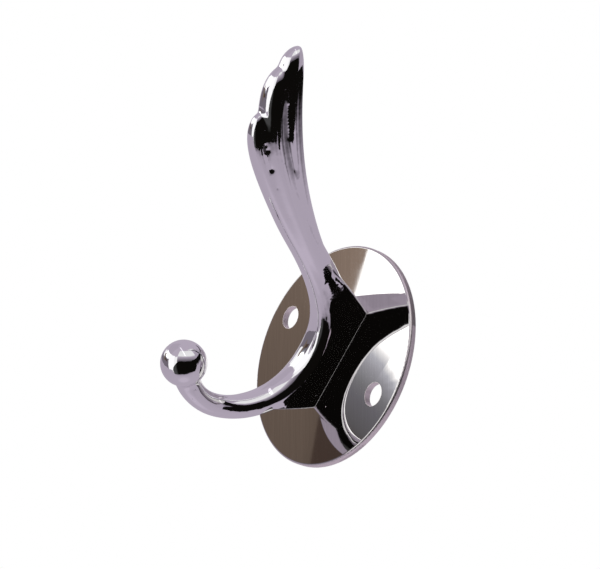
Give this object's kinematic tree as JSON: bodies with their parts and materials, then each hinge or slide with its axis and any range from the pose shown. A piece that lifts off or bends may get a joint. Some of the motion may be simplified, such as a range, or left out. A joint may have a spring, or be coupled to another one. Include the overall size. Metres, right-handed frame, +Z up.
{
  "type": "double robe hook",
  "caption": "Double robe hook: a wing-shaped fluted upper prong and a ball-ended lower prong on a round wall plate with screw holes.",
  "frame": {"origin": "centre of the round plate's back face, on the wall", "axes": "+Y into the wall, so the prongs stand out towards -Y; +Z up, towards the tip of the upper prong; +X across the plate through both screw holes"},
  "size_m": [0.048, 0.0487, 0.0805],
  "materials": {
    "chrome": "polished chrome plating on a zinc casting",
    "steel": "bright stainless with a fine brushed grain"
  },
  "bodies": {
    "root": {"hook": "chrome", "back_plate": "steel"}
  },
  "joints": []
}
